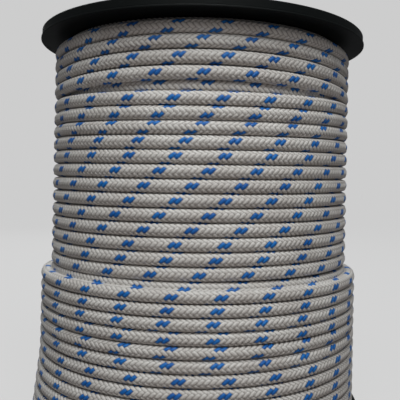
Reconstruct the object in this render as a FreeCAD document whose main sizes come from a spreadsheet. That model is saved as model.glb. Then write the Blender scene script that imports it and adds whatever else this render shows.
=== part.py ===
"""Braided rope wound on a knock-down spool: two moulded flanges drawn onto a core tube by tie rods.

The spool stands upright on its lower flange. Z is its axis, and the origin is on it, at the lowest face.
Every size is a cell of the spreadsheet, and each sub-part is bound to those cells.
"""

import FreeCAD, Part
import math
import os
import re

import Sketcher

SIZES = {
    # rope and the way it is wound
    "rope_diameter": 10.0,
    "full_layers": 8,
    "bed_depth": 2.0,  # each turn sinks this far into the valleys of the layer below
    "turn_gap": 0.1,
    "valley_floor": 0.16,  # the flat bottom of the valley between two turns, as a share of the pitch
    "winding_end_gap": 0.6,
    "top_gap": 3.8,  # between the outermost full layer and the upper flange
    "partial_layer_height": 105.4,
    "last_turn_sweep": 300.0,
    "last_turn_start": -216.0,
    "last_turn_rise": 0.2,  # the last turn lies this far proud of the layer that it tops
    "seal_inset": 0.3,  # the melted cap is this much thinner than the rope, in radius
    "seal_length": 2.5,
    "tape_thickness": 0.4,
    "tape_sweep": 11.0,
    "tape_reach": 26.0,
    "tape_clearance": 0.2,
    "tape_bend": 3.0,  # the tape leaves the outer turns this far below the last turn's top
    "tape_drop": 7.0,  # and meets the turns of the layer below this far above it
    "tape_end_overhang": 2.0,  # degrees of rope left bare past the tape
    # core tube
    "core_radius": 60.0,
    "core_wall": 4.0,
    "traverse": 299.4,  # clear distance between the flanges
    # flange
    "flange_margin": 3.2,  # the flanges stand this far outside the winding
    "rim_height": 8.0,
    "rim_wall": 3.6,
    "bead_radius": 0.8,
    "bead_notch": 0.45,
    "rim_chamfer": 0.8,
    "web_thickness": 3.0,
    "rib_count": 16,
    "rib_thickness": 2.2,
    "rib_inset": 1.0,  # ribs stop this far inside the rim's edge
    "rib_root": 0.5,  # ribs reach this far into the walls that they join
    "ring_rib_radius": 98.0,
    # hub
    "spigot_clearance": 0.25,
    "spigot_wall": 4.5,
    "spigot_height": 16.0,
    "hub_floor": 4.0,
    "collar_wall": 4.5,
    "collar_height": 22.0,
    "drive_hole_shift": 2.0,  # holes for a reel drive's pins, this far outside the tie rods' circle
    "drive_hole_radius": 5.0,
    "drive_hole_count": 4,
    # bush in the hub
    "bore_radius": 15.5,
    "bush_wall": 2.5,
    "bush_lip": 3.0,
    "bush_lip_thickness": 1.6,
    # tie rods and their fasteners
    "tie_rods": 4,
    "tie_rod_radius": 3.0,
    "tie_hole_clearance": 0.3,
    "tie_circle_shift": 1.125,  # the rods stand this far outside the middle of the hub's recess
    "washer_radius": 6.0,
    "washer_thickness": 1.6,
    "nut_corner_radius": 5.77,
    "nut_height": 5.0,
    "rod_end": 2.4,
}
# Cells worked out from the sizes above, so that each relation is written once.
WORKED_OUT = {
    "layer_step": "=rope_diameter - bed_depth",
    "turn_pitch": "=rope_diameter + turn_gap",
    "spool_height": "=2 * rim_height + traverse",
    "core_inner_radius": "=core_radius - core_wall",
    "spigot_radius": "=core_inner_radius - spigot_clearance",
    "recess_radius": "=spigot_radius - spigot_wall",
    "hub_face": "=rim_height + spigot_height",
    "hub_seat": "=hub_face - hub_floor",
    "bush_radius": "=bore_radius + bush_wall",
    "collar_radius": "=bush_radius + collar_wall",
    "collar_top": "=rim_height + collar_height",
    "tie_circle": "=(recess_radius + collar_radius) / 2 + tie_circle_shift",
    "tie_hole_radius": "=tie_rod_radius + tie_hole_clearance",
    "drive_hole_circle": "=tie_circle + drive_hole_shift",
    "winding_bottom": "=rim_height + winding_end_gap",
    "winding_top": "=rim_height + traverse - winding_end_gap",
    "full_bed": "=core_radius + (full_layers - 1) * layer_step",
    "full_crest": "=full_bed + rope_diameter",
    "full_top": "=rim_height + traverse - top_gap",
    "partial_bed": "=core_radius + full_layers * layer_step",
    "partial_crest": "=partial_bed + rope_diameter",
    "flange_radius": "=partial_crest + flange_margin",
    "partial_top": "=rim_height + partial_layer_height",
    "step_height": "=partial_top + rope_diameter",
    "last_turn_radius": "=partial_bed + rope_diameter / 2 + last_turn_rise",
    "last_turn_height": "=partial_top + rope_diameter / 2",
    "last_turn_end": "=last_turn_start + last_turn_sweep",
    "rod_bottom": "=hub_seat - washer_thickness - nut_height - rod_end",
}

doc = FreeCAD.newDocument("rope_spool")
sheet = doc.addObject("Spreadsheet::Sheet", "sizes")


def fill_sheet():
    """Writes each size and each worked-out cell, with its alias."""
    row = 1
    for alias, value in {**SIZES, **WORKED_OUT}.items():
        sheet.set(f"A{row}", alias)
        sheet.set(f"B{row}", str(value))
        sheet.setAlias(f"B{row}", alias)
        row += 1
    doc.recompute()


def size(expression):
    """The value of an expression in the sheet's aliases, as a number."""
    value = sheet.evalExpression(expression)
    return float(getattr(value, "Value", value))


def named(expression):
    """The same expression with each alias reached through the sheet, for setExpression."""
    aliases = {*SIZES, *WORKED_OUT}

    def reach(word):
        return f"sizes.{word[0]}" if word[0] in aliases else word[0]

    return re.sub("[a-z_]+", reach, expression)


def origin_plane(body, role):
    """One of the body's own origin planes."""
    return next(f for f in body.Origin.OriginFeatures if f.Role == role)


def new_body(label):
    """An empty body with the label that names its file."""
    body = doc.addObject("PartDesign::Body", label)
    body.Label = label
    return body


def new_sketch(body, name, role, offset=None):
    """A sketch on one of the body's origin planes, lifted along the plane's normal by an expression."""
    sketch = body.newObject("Sketcher::SketchObject", name)
    sketch.AttachmentSupport = [(origin_plane(body, role), "")]
    sketch.MapMode = "FlatFace"
    if offset:
        sketch.setExpression("AttachmentOffset.Base.z", named(offset))
    return sketch


def hold(sketch, kind, geometry, point, expression):
    """Holds one point of a sketch at a distance from the sketch's origin, given by an expression."""
    index = sketch.addConstraint(Sketcher.Constraint(kind, -1, 1, geometry, point, size(expression)))
    sketch.setExpression(f"Constraints[{index}]", named(expression))


def pin(sketch, geometry, point, across, along):
    """Holds one point of a sketch both ways."""
    hold(sketch, "DistanceX", geometry, point, across)
    hold(sketch, "DistanceY", geometry, point, along)


def outline(body, name, role, corners, offset=None):
    """A closed outline of straight lines through corners, each a pair of expressions."""
    sketch = new_sketch(body, name, role, offset)
    places = [FreeCAD.Vector(size(x), size(y), 0) for x, y in corners]
    lines = [
        sketch.addGeometry(Part.LineSegment(start, end))
        for start, end in zip(places, places[1:] + places[:1])
    ]
    for line, following in zip(lines, lines[1:] + lines[:1]):
        sketch.addConstraint(Sketcher.Constraint("Coincident", line, 2, following, 1))
    for line, (across, along) in zip(lines, corners):
        pin(sketch, line, 1, across, along)
    return sketch


def circle(body, name, radius, across="0", along="0", offset=None):
    """A circle in a plane square to the axis."""
    sketch = new_sketch(body, name, "XY_Plane", offset)
    centre = FreeCAD.Vector(size(across), size(along), 0)
    ring = sketch.addGeometry(Part.Circle(centre, FreeCAD.Vector(0, 0, 1), size(radius)))
    index = sketch.addConstraint(Sketcher.Constraint("Radius", ring, size(radius)))
    sketch.setExpression(f"Constraints[{index}]", named(radius))
    pin(sketch, ring, 3, across, along)
    return sketch


def turned(body, name, sketch, kind="PartDesign::Revolution", degrees="360"):
    """Turns an outline about the spool's axis."""
    feature = body.newObject(kind, name)
    feature.Profile = sketch
    feature.ReferenceAxis = (sketch, ["V_Axis"])
    feature.setExpression("Angle", named(degrees))
    return feature


def round_pattern(body, name, feature, count):
    """Repeats a feature round the spool's axis."""
    pattern = body.newObject("PartDesign::PolarPattern", name)
    pattern.Originals = [feature]
    pattern.Axis = (origin_plane(body, "Z_Axis"), [""])
    pattern.Angle = 360
    pattern.setExpression("Occurrences", named(count))
    body.Tip = pattern
    return pattern


def flange_profile(body):
    """The flange's half section: rim with its bead, web, ring rib, hub recess and collar."""
    recess = "rim_height - web_thickness"
    inner_rim = "flange_radius - rim_wall"
    bead_bottom = "rim_height - 2 * bead_radius"
    return outline(
        body,
        "flange_section",
        "XZ_Plane",
        [
            ("bush_radius", "hub_seat - collar_wall"),
            ("collar_radius", "hub_seat - collar_wall"),
            ("collar_radius", "hub_seat"),
            ("recess_radius", "hub_seat"),
            ("recess_radius", "0"),
            ("spigot_radius", "0"),
            ("spigot_radius", recess),
            ("ring_rib_radius", recess),
            ("ring_rib_radius", "rib_inset"),
            ("ring_rib_radius + rib_thickness", "rib_inset"),
            ("ring_rib_radius + rib_thickness", recess),
            (inner_rim, recess),
            (inner_rim, "0"),
            ("flange_radius - rim_chamfer", "0"),
            ("flange_radius", "rim_chamfer"),
            ("flange_radius", f"{bead_bottom} - bead_notch"),
            ("flange_radius - bead_notch", bead_bottom),
            ("flange_radius + bead_radius * 0.7", bead_bottom),
            ("flange_radius + bead_radius", f"{bead_bottom} + bead_radius * 0.5"),
            ("flange_radius + bead_radius", "rim_height - bead_radius * 0.5"),
            ("flange_radius + bead_radius * 0.5", "rim_height"),
            ("spigot_radius", "rim_height"),
            ("spigot_radius", "hub_face"),
            ("collar_radius", "hub_face"),
            ("collar_radius", "collar_top"),
            ("bush_radius", "collar_top"),
        ],
    )


def make_flange(label):
    """One flange, outer side down: turned profile, ribs on the outer side, drive holes and tie rod holes."""
    body = new_body(label)
    turned(body, "turned_flange", flange_profile(body))
    half = "rib_thickness / 2"
    rib_ends = ("spigot_radius - rib_root", "flange_radius - rim_wall + rib_root")
    corners = [
        (rib_ends[0], f"-{half}"),
        (rib_ends[1], f"-{half}"),
        (rib_ends[1], half),
        (rib_ends[0], half),
    ]
    rib = body.newObject("PartDesign::Pad", "rib")
    rib.Profile = outline(body, "rib_outline", "XY_Plane", corners, "rib_inset")
    rib.setExpression("Length", named("rim_height - web_thickness - rib_inset + rib_root"))
    round_pattern(body, "ribs", rib, "rib_count")
    doc.recompute()
    between_rods = "180 / tie_rods"
    drill(body, "drive_hole", "drive_hole_radius", "drive_hole_circle", "drive_hole_count", between_rods)
    drill(body, "tie_hole", "tie_hole_radius", "tie_circle", "tie_rods", "0")
    return body


def drill(body, name, radius, circle_radius, count, start_angle):
    """Round holes right through the flange on a circle about its axis."""
    across = f"{circle_radius} * cos({start_angle} * 1 deg)"
    along = f"{circle_radius} * sin({start_angle} * 1 deg)"
    before = body.Tip.Shape.Volume
    hole = body.newObject("PartDesign::Pocket", name)
    hole.Profile = circle(body, f"{name}_circle", radius, across, along, "collar_top")
    hole.Type = "ThroughAll"
    doc.recompute()
    if not hole.Shape.Volume < before - 1.0:
        raise RuntimeError(f"{name} cut nothing")
    round_pattern(body, f"{name}s", hole, count)
    doc.recompute()


def turn_over(thing):
    """Puts a copy of a lower piece at the spool's other end, upside down."""
    thing.Placement = FreeCAD.Placement(
        FreeCAD.Vector(0, 0, size("spool_height")),
        FreeCAD.Rotation(FreeCAD.Vector(1, 0, 0), 180),
    )
    thing.setExpression("Placement.Base.z", named("spool_height"))


def make_core_tube():
    """The paperboard tube that the flanges' spigots enter."""
    body = new_body("core_tube")
    section = outline(
        body,
        "tube_section",
        "XZ_Plane",
        [
            ("core_inner_radius", "rim_height"),
            ("core_radius", "rim_height"),
            ("core_radius", "rim_height + traverse"),
            ("core_inner_radius", "rim_height + traverse"),
        ],
    )
    turned(body, "turned_tube", section)


def make_bush(label):
    """A lipped bush pressed into a flange's collar from the outer side."""
    body = new_body(label)
    lip = "hub_seat - collar_wall"
    section = outline(
        body,
        "bush_section",
        "XZ_Plane",
        [
            ("bore_radius", f"{lip} - bush_lip_thickness"),
            ("bush_radius + bush_lip", f"{lip} - bush_lip_thickness"),
            ("bush_radius + bush_lip", lip),
            ("bush_radius", lip),
            ("bush_radius", "collar_top"),
            ("bore_radius", "collar_top"),
        ],
    )
    turned(body, "turned_bush", section)
    return body


def tie_place(thing, turn, height):
    """Stands a piece on the tie circle at one of the rods' places, at a height given by an expression."""
    angle = f"{turn} * 360 / tie_rods * 1 deg"
    thing.setExpression("Placement.Base.x", named(f"tie_circle * cos({angle})"))
    thing.setExpression("Placement.Base.y", named(f"tie_circle * sin({angle})"))
    thing.setExpression("Placement.Base.z", named(height))


def make_tie_rods():
    """Four straight rods through both hubs, inside the core tube."""
    for turn in range(int(size("tie_rods"))):
        rod = doc.addObject("Part::Cylinder", f"tie_rod_{turn + 1}")
        rod.setExpression("Radius", named("tie_rod_radius"))
        rod.setExpression("Height", named("spool_height - 2 * rod_bottom"))
        tie_place(rod, turn, "rod_bottom")


def drilled_blank(blank, name, thickness):
    """A washer or nut blank with the rod's hole through it."""
    hole = doc.addObject("Part::Cylinder", f"{name}_hole")
    hole.setExpression("Radius", named("tie_rod_radius"))
    hole.setExpression("Height", named(thickness))
    ring = doc.addObject("Part::Cut", f"{name}_ring")
    ring.Base = blank
    ring.Tool = hole
    return ring


def make_tie_washer(name):
    """One plain washer."""
    blank = doc.addObject("Part::Cylinder", f"{name}_blank")
    blank.setExpression("Radius", named("washer_radius"))
    blank.setExpression("Height", named("washer_thickness"))
    return drilled_blank(blank, name, "washer_thickness")


def make_tie_nut(name):
    """One hexagon nut."""
    blank = doc.addObject("Part::Prism", f"{name}_blank")
    blank.Polygon = 6
    blank.setExpression("Circumradius", named("nut_corner_radius"))
    blank.setExpression("Height", named("nut_height"))
    return drilled_blank(blank, name, "nut_height")


def make_fasteners():
    """Washers and nuts in each hub's recess, one group for each end and kind."""
    seats = {
        "tie_washers": (make_tie_washer, "hub_seat - washer_thickness", "washer_thickness"),
        "tie_nuts": (make_tie_nut, "hub_seat - washer_thickness - nut_height", "nut_height"),
    }
    for kind, (make_one, seat, thickness) in seats.items():
        for end in ("lower", "upper"):
            height = seat if end == "lower" else f"spool_height - ({seat}) - {thickness}"
            pieces = []
            for turn in range(int(size("tie_rods"))):
                piece = make_one(f"{end}_{kind}_{turn}")
                tie_place(piece, turn, height)
                pieces.append(piece)
            group = doc.addObject("Part::Compound", f"{end}_{kind}")
            group.Links = pieces


def layer_bed(layer):
    """The radius that a layer is wound on, as an expression. The first layer is wound on the core."""
    return f"core_radius + {layer - 1} * layer_step"


def make_buried_layer(layer):
    """A full layer that lies under others: a plain ring as thick as the layer's step."""
    body = new_body(f"rope_layer_{layer}")
    section = outline(
        body,
        "layer_section",
        "XZ_Plane",
        [
            (layer_bed(layer), "winding_bottom"),
            (layer_bed(layer + 1), "winding_bottom"),
            (layer_bed(layer + 1), "winding_top"),
            (layer_bed(layer), "winding_top"),
        ],
    )
    turned(body, "turned_layer", section)


def valley_outline(body, crest, highest):
    """The valley between the turn whose middle is at the highest place and the next one down."""
    sketch = new_sketch(body, "valley", "XZ_Plane")
    radius = size("rope_diameter / 2")
    half_floor = "valley_floor * turn_pitch / 2"
    middle = f"{highest} - turn_pitch / 2"
    centre_out = size(f"{crest} - rope_diameter / 2")
    lean = math.asin(size(f"(turn_pitch / 2 - {half_floor}) / (rope_diameter / 2)"))
    axis = FreeCAD.Vector(0, 0, 1)
    top, bottom = size(highest), size(f"{highest} - turn_pitch")
    upper = Part.ArcOfCircle(Part.Circle(FreeCAD.Vector(centre_out, top, 0), axis, radius), -lean, 0)
    lower = Part.ArcOfCircle(Part.Circle(FreeCAD.Vector(centre_out, bottom, 0), axis, radius), 0, lean)
    low_corner = FreeCAD.Vector(centre_out + radius + 1, bottom, 0)
    high_corner = FreeCAD.Vector(centre_out + radius + 1, top, 0)
    edges = [
        upper,
        Part.LineSegment(upper.StartPoint, lower.EndPoint),
        lower,
        Part.LineSegment(lower.StartPoint, low_corner),
        Part.LineSegment(low_corner, high_corner),
        Part.LineSegment(high_corner, upper.EndPoint),
    ]
    upper_side, floor, lower_side, low, back, high = (sketch.addGeometry(edge) for edge in edges)
    joins = [
        (upper_side, 1, floor, 1),
        (floor, 2, lower_side, 2),
        (lower_side, 1, low, 1),
        (low, 2, back, 1),
        (back, 2, high, 1),
        (high, 2, upper_side, 2),
    ]
    for first, first_end, second, second_end in joins:
        sketch.addConstraint(Sketcher.Constraint("Coincident", first, first_end, second, second_end))
    for arc, along in ((upper_side, highest), (lower_side, f"{highest} - turn_pitch")):
        pin(sketch, arc, 3, f"{crest} - rope_diameter / 2", along)
        index = sketch.addConstraint(Sketcher.Constraint("Radius", arc, radius))
        sketch.setExpression(f"Constraints[{index}]", named("rope_diameter / 2"))
    hold(sketch, "DistanceY", floor, 1, f"{middle} + {half_floor}")
    hold(sketch, "DistanceY", floor, 2, f"{middle} - {half_floor}")
    pin(sketch, back, 1, f"{crest} + 1", f"{highest} - turn_pitch")
    pin(sketch, back, 2, f"{crest} + 1", highest)
    for line in (low, high):
        sketch.addConstraint(Sketcher.Constraint("Horizontal", line))
    return sketch


def groove_between_turns(body, crest, highest, count):
    """Cuts the valley between two neighbouring turns, and repeats it down the layer."""
    before = body.Tip.Shape.Volume
    sketch = valley_outline(body, crest, highest)
    groove = turned(body, "valley_groove", sketch, "PartDesign::Groove")
    doc.recompute()
    if not groove.Shape.Volume < before - 1.0:
        raise RuntimeError(f"the valley of {body.Label} cut nothing")
    pattern = body.newObject("PartDesign::LinearPattern", "valleys")
    pattern.Originals = [groove]
    pattern.Direction = (sketch, ["V_Axis"])
    pattern.Reversed = True
    pattern.Mode = "Spacing"
    pattern.setExpression("Offset", named("turn_pitch"))
    pattern.Occurrences = count
    body.Tip = pattern


def make_outer_full_layer():
    """The last full layer: bare turns above the partial layer, and a plain bed under it."""
    body = new_body(f"rope_layer_{int(size('full_layers'))}")
    section = outline(
        body,
        "layer_section",
        "XZ_Plane",
        [
            ("full_bed", "winding_bottom"),
            ("partial_bed", "winding_bottom"),
            ("partial_bed", "step_height"),
            ("full_crest", "step_height"),
            ("full_crest", "full_top"),
            ("full_bed", "full_top"),
        ],
    )
    turned(body, "turned_layer", section)
    doc.recompute()
    bare_turns = math.floor(size("(full_top - step_height) / turn_pitch"))
    groove_between_turns(body, "full_crest", "full_top - rope_diameter / 2", bare_turns - 1)


def make_partial_layer():
    """The unfinished layer on the lower part of the winding."""
    body = new_body(f"rope_layer_{int(size('full_layers')) + 1}")
    section = outline(
        body,
        "layer_section",
        "XZ_Plane",
        [
            ("partial_bed", "winding_bottom"),
            ("partial_crest", "winding_bottom"),
            ("partial_crest", "partial_top"),
            ("partial_bed", "partial_top"),
        ],
    )
    turned(body, "turned_layer", section)
    doc.recompute()
    turns = math.floor(size("(partial_top - winding_bottom) / turn_pitch"))
    groove_between_turns(body, "partial_crest", "partial_top - rope_diameter / 2", turns - 1)


def make_last_turn():
    """The turn that ends the winding: it lies on top of the partial layer and stops at the back."""
    turn = doc.addObject("Part::Torus", "rope_last_turn")
    turn.setExpression("Radius1", named("last_turn_radius"))
    turn.setExpression("Radius2", named("rope_diameter / 2"))
    turn.setExpression("Angle3", named("last_turn_sweep"))
    turn.setExpression("Placement.Base.z", named("last_turn_height"))
    turn.Placement.Rotation = FreeCAD.Rotation(FreeCAD.Vector(0, 0, 1), size("last_turn_start"))
    turn.setExpression("Placement.Rotation.Angle", named("last_turn_start * 1 deg"))


def make_end_seal():
    """The melted cap on the rope's outer end, in line with the last turn."""
    seal = doc.addObject("Part::Cylinder", "outer_end_seal")
    seal.setExpression("Radius", named("rope_diameter / 2 - seal_inset"))
    seal.setExpression("Height", named("seal_length"))
    turn = math.radians(size("last_turn_end"))
    along = FreeCAD.Vector(-math.sin(turn), math.cos(turn), 0)
    seal.Placement.Rotation = FreeCAD.Rotation(FreeCAD.Vector(0, 0, 1), along)
    seal.setExpression("Placement.Base.x", named("last_turn_radius * cos(last_turn_end * 1 deg)"))
    seal.setExpression("Placement.Base.y", named("last_turn_radius * sin(last_turn_end * 1 deg)"))
    seal.setExpression("Placement.Base.z", named("last_turn_height"))


def make_end_tape():
    """A strip of tape over the rope's end, from the bare turns above down to the partial layer's turns."""
    body = new_body("end_tape")
    inner = "full_crest + tape_clearance"
    outer = "partial_crest + last_turn_rise + tape_clearance"
    section = outline(
        body,
        "tape_section",
        "XZ_Plane",
        [
            (outer, "step_height - tape_reach"),
            (f"{outer} + tape_thickness", "step_height - tape_reach"),
            (f"{outer} + tape_thickness", "step_height - tape_bend"),
            (f"{inner} + tape_thickness", "step_height + tape_drop"),
            (f"{inner} + tape_thickness", "step_height + tape_reach"),
            (inner, "step_height + tape_reach"),
            (inner, "step_height + tape_drop"),
            (outer, "step_height - tape_bend"),
        ],
    )
    turned(body, "turned_tape", section, degrees="tape_sweep")
    middle = "last_turn_end - tape_end_overhang - tape_sweep / 2"
    body.Placement.Rotation = FreeCAD.Rotation(FreeCAD.Vector(0, 0, 1), size(middle))
    body.setExpression("Placement.Rotation.Angle", named(f"({middle}) * 1 deg"))


def finished_parts():
    """The sub-parts: every object that no other object uses."""
    kinds = ("PartDesign::Body", "Part::Compound", "Part::Cylinder", "Part::Torus")
    return [o for o in doc.Objects if o.TypeId in kinds and not o.InList]


def check_and_write():
    """Stops if anything failed to build, and writes each sub-part to its own file."""
    doc.recompute()
    for thing in doc.Objects:
        if "Invalid" in thing.State or "Error" in thing.State:
            raise RuntimeError(f"{thing.Name} did not build: {thing.State}")
    os.makedirs("parts", exist_ok=True)
    for part in finished_parts():
        if part.Shape.isNull() or not part.Shape.isValid():
            raise RuntimeError(f"{part.Label} is not a sound shape")
        part.Shape.exportStep(f"parts/{part.Label}.step")
        box = part.Shape.BoundBox
        print(f"{part.Label:22s} {len(part.Shape.Solids)} solid, {part.Shape.Volume / 1000:9.2f} cm3,"
              f" z {box.ZMin:.1f} to {box.ZMax:.1f}")


fill_sheet()
make_flange("lower_flange")
turn_over(make_flange("upper_flange"))
make_core_tube()
make_bush("lower_bush")
turn_over(make_bush("upper_bush"))
make_tie_rods()
make_fasteners()
for buried in range(1, int(size("full_layers"))):
    make_buried_layer(buried)
make_outer_full_layer()
make_partial_layer()
make_last_turn()
make_end_seal()
make_end_tape()
check_and_write()
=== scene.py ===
"""Bulk braided rope wound on a standing spool: the looks, built round the fixed frame.

Every length is in metres, in the frame's own axes. Z is the spool's axis, the spool stands on Z = 0, and the
front, where the turns lie level, faces -Y. The rope goes round counter-clockwise seen from above.
"""

import logging
import math
from dataclasses import dataclass, field
from enum import Enum

import bpy
import numpy as np
from mathutils import Matrix, Vector


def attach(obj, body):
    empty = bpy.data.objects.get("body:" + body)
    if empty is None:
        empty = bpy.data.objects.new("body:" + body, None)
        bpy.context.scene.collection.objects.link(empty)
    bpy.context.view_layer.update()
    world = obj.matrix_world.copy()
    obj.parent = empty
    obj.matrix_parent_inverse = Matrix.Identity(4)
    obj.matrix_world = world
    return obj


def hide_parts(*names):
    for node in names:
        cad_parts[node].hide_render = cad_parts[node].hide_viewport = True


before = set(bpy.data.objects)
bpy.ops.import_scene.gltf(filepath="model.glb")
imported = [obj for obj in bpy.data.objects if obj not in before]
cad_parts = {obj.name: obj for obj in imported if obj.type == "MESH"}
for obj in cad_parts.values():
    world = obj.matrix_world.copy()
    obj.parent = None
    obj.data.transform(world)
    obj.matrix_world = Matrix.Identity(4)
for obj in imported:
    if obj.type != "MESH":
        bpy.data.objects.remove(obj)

Triple = tuple[float, float, float]
Piece = bpy.types.Object
Material = bpy.types.Material
Array = np.ndarray

MM = 0.001
BODY = "root"
FRONT = -math.pi / 2
BACK = math.pi / 2
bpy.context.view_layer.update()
STRAND_SPAN = 2.5  # of a strand's width, in the braid's own map
ALONG_SPAN = 0.35  # of the same length along a strand
TURN_HEIGHT = 9.9 * MM

logging.basicConfig(level=logging.INFO, format="%(name)s: %(message)s")
log = logging.getLogger("rope_spool")


# ---- shader desk


class Shade:
    """A node socket that takes part in Python expressions, each of which adds its Math nodes."""

    def __init__(self, desk: "NodeDesk", socket: bpy.types.NodeSocket) -> None:
        """Holds the socket and the desk that adds its nodes."""
        self.desk = desk
        self.socket = socket

    def maths(self, operation: str, *values: "Shade | float") -> "Shade":
        """Adds one Math node on the given values."""
        return self.desk.add("Math", {"operation": operation}, dict(enumerate(values)))

    def __add__(self, other: "Shade | float") -> "Shade":
        """This value plus another."""
        return self.maths("ADD", self, other)

    def __sub__(self, other: "Shade | float") -> "Shade":
        """This value less another."""
        return self.maths("SUBTRACT", self, other)

    def __rsub__(self, other: float) -> "Shade":
        """A number less this value."""
        return self.maths("SUBTRACT", other, self)

    def __mul__(self, other: "Shade | float") -> "Shade":
        """This value times another."""
        return self.maths("MULTIPLY", self, other)

    def __abs__(self) -> "Shade":
        """This value without its sign."""
        return self.maths("ABSOLUTE", self)

    def __mod__(self, other: float) -> "Shade":
        """This value's remainder, never below zero."""
        return self.maths("FLOORED_MODULO", self, other)

    __radd__ = __add__
    __rmul__ = __mul__


class NodeDesk:
    """A material's node tree, and the one way of adding a node to it."""

    def __init__(self, name: str) -> None:
        """Starts a material that holds only its output and its main shader."""
        self.material = bpy.data.materials.new(name)
        self.material.use_nodes = True
        self.tree = self.material.node_tree
        self.shader = self.tree.nodes["Principled BSDF"]

    def add(
        self, kind: str, settings: dict | None = None, inputs: dict | None = None, out: int | str = 0
    ) -> Shade:
        """Adds a node.

        Args:
            kind: the node's type, without the ShaderNode prefix.
            settings: properties to set first.
            inputs: socket names or numbers, with a number, a colour or a Shade for each.
            out: the output socket to return.

        Returns:
            The chosen output.
        """
        node = self.tree.nodes.new("ShaderNode" + kind)
        for name, value in (settings or {}).items():
            setattr(node, name, value)
        for name, value in (inputs or {}).items():
            self.feed(node.inputs[name], value)
        return Shade(self, node.outputs[out])

    def feed(self, socket: bpy.types.NodeSocket, value: "Shade | float | tuple") -> None:
        """Links a Shade to a socket, or sets the socket to a number or a colour."""
        if isinstance(value, Shade):
            self.tree.links.new(value.socket, socket)
        elif isinstance(value, tuple) and socket.type == "RGBA":
            socket.default_value = (*value, 1.0)
        else:
            socket.default_value = value

    def surface(self, **sockets: "Shade | float | tuple") -> Material:
        """Feeds the main shader's sockets, named with underscores for spaces, and returns the material."""
        for name, value in sockets.items():
            self.feed(self.shader.inputs[name.replace("_", " ")], value)
        return self.material

    def place(self, scale: Triple = (1.0, 1.0, 1.0)) -> Shade:
        """The place on the object, stretched by scale."""
        here = self.add("TexCoord", out="Object")
        return self.add("Mapping", {"vector_type": "POINT"}, {"Vector": here, "Scale": scale})

    def noise(self, vector: Shade, scale: float, detail: float = 3.0) -> Shade:
        """Soft noise from 0 to 1, with features about one over scale metres wide."""
        return self.add("TexNoise", inputs={"Vector": vector, "Scale": scale, "Detail": detail})

    def ramp(self, value: Shade, low: float, high: float, falling: bool = False) -> Shade:
        """Goes smoothly from 0 to 1 as the value goes from low to high, or from 1 to 0."""
        ends = {"To Min": 1.0, "To Max": 0.0} if falling else {}
        span = {"Value": value, "From Min": low, "From Max": high, **ends}
        return self.add("MapRange", {"interpolation_type": "SMOOTHSTEP"}, span)

    def mix(self, amount: "Shade | float", first: "Shade | tuple", second: "Shade | tuple") -> Shade:
        """Goes from the first colour to the second as amount goes from 0 to 1."""
        node = self.tree.nodes.new("ShaderNodeMix")
        node.data_type = "RGBA"
        for name, value in (("Factor_Float", amount), ("A_Color", first), ("B_Color", second)):
            self.feed(next(s for s in node.inputs if s.identifier == name), value)
        return Shade(self, next(s for s in node.outputs if s.identifier == "Result_Color"))

    def bump(self, height: Shade, distance: float, strength: float = 1.0) -> Shade:
        """A normal that follows a height, with distance in metres for a height of 1."""
        return self.add("Bump", inputs={"Height": height, "Distance": distance, "Strength": strength})


# ---- finishes


@dataclass(frozen=True)
class SheathYarn:
    """Filament yarn of the braided sheath: silky, a little uneven in colour from float to float."""

    name: str
    colour: Triple
    soiled: Triple
    # the dark colour of the painted shade that grooves and float tips are mixed towards
    shaded: Triple
    roughness: float = 0.42
    gloss: float = 0.5
    # reach and strength of the painted shade in the grooves and at the float tips
    groove_reach: tuple[float, float] = (0.03, 0.2)  # from a strand's edge, in strands
    groove_shade: float = 0.65
    tip_reach: tuple[float, float] = (0.7, 1.5)  # from a float's middle, in strands
    tip_shade: float = 0.45

    def material(self) -> Material:
        """The yarn's material, with filaments along the floats, and painted shade that darkens the grooves
        between floats and the floats' tips.
        """
        desk = NodeDesk(self.name)
        along = desk.add("UVMap", {"uv_map": "braid"})
        across = desk.add("SeparateXYZ", inputs={"Vector": along}, out="Y") * (1 / STRAND_SPAN)
        from_edge = abs(across % 1.0 - 0.5)
        groove = desk.ramp(from_edge, *self.groove_reach, falling=True)
        from_middle = desk.add("Attribute", {"attribute_name": "from_middle"}, out="Fac")
        tip = desk.ramp(from_middle, *self.tip_reach)
        cloud = desk.noise(desk.place(), 38.0, 2.0)
        patch = desk.add("TexNoise", inputs={"Vector": along, "Scale": 0.9, "Detail": 2.0})
        filament = desk.add("TexNoise", inputs={"Vector": along, "Scale": 7.0, "Detail": 3.0})
        tone = cloud * 0.35 + patch * 0.45 + filament * 0.2
        tint = desk.ramp(tone, 0.36, 0.66)
        # painted shade: grooves between strands and float tips, where they dive under, mix towards the shaded
        # colour
        shade = groove * self.groove_shade + tip * self.tip_shade
        return desk.surface(
            Base_Color=desk.mix(shade, desk.mix(tint, self.soiled, self.colour), self.shaded),
            Roughness=self.roughness + 0.16 * filament,
            Normal=desk.bump(filament, 0.25 * MM, 0.6),
            Specular_IOR_Level=self.gloss,
            Sheen_Weight=0.1,
            Sheen_Roughness=0.35,
        )


@dataclass(frozen=True)
class MouldedPlastic:
    """Injection-moulded plastic with a fine spark-eroded grain and handling marks."""

    name: str
    colour: Triple
    worn: Triple
    roughness: float
    gloss: float = 0.5

    def material(self) -> Material:
        """The plastic's material."""
        desk = NodeDesk(self.name)
        here = desk.place()
        cloud = desk.noise(here, 22.0, 4.0)
        grain = desk.noise(here, 1400.0, 2.0)
        scuff = desk.noise(desk.place((60.0, 60.0, 900.0)), 1.0, 3.0)
        marks = desk.add("MapRange", inputs={"Value": scuff, "From Min": 0.62, "From Max": 0.74})
        return desk.surface(
            Base_Color=desk.mix(marks * 0.5 + cloud * 0.3, self.colour, self.worn),
            Roughness=self.roughness + 0.18 * cloud + 0.12 * marks,
            Normal=desk.bump(grain, 0.05 * MM, 0.5),
            Specular_IOR_Level=self.gloss,
        )


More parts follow.
